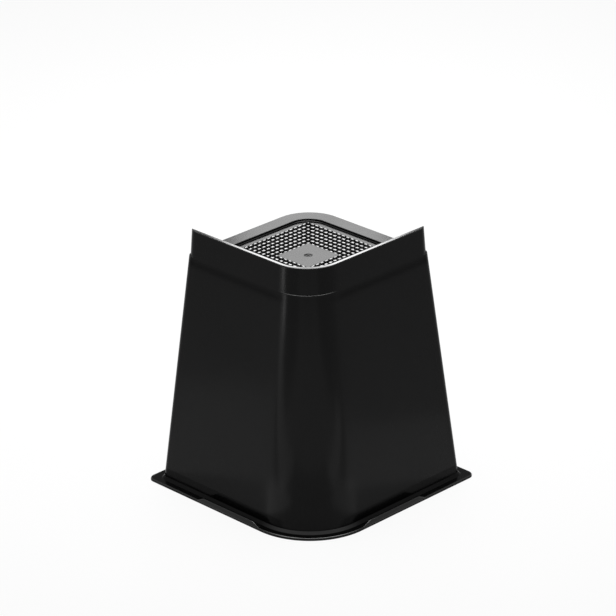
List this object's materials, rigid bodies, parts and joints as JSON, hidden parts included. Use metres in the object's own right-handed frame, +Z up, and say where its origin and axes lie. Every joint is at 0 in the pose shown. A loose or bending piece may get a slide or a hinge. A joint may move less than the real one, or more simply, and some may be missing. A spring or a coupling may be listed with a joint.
{
  "type": "bed riser",
  "caption": "Tapered hollow block that stands under a bed leg and lifts it, with a foot flange, a studded seat and a corner guard wall.",
  "frame": {"origin": "middle of the underside, on the floor", "axes": "+Z up; the sides lie along X and Y; the guard stands over the +X and -Y sides"},
  "size_m": [0.169, 0.169, 0.1974],
  "materials": {
    "black_plastic": "black moulded polypropylene with a low sheen"
  },
  "bodies": {
    "root": {"riser": "black_plastic"}
  },
  "joints": []
}
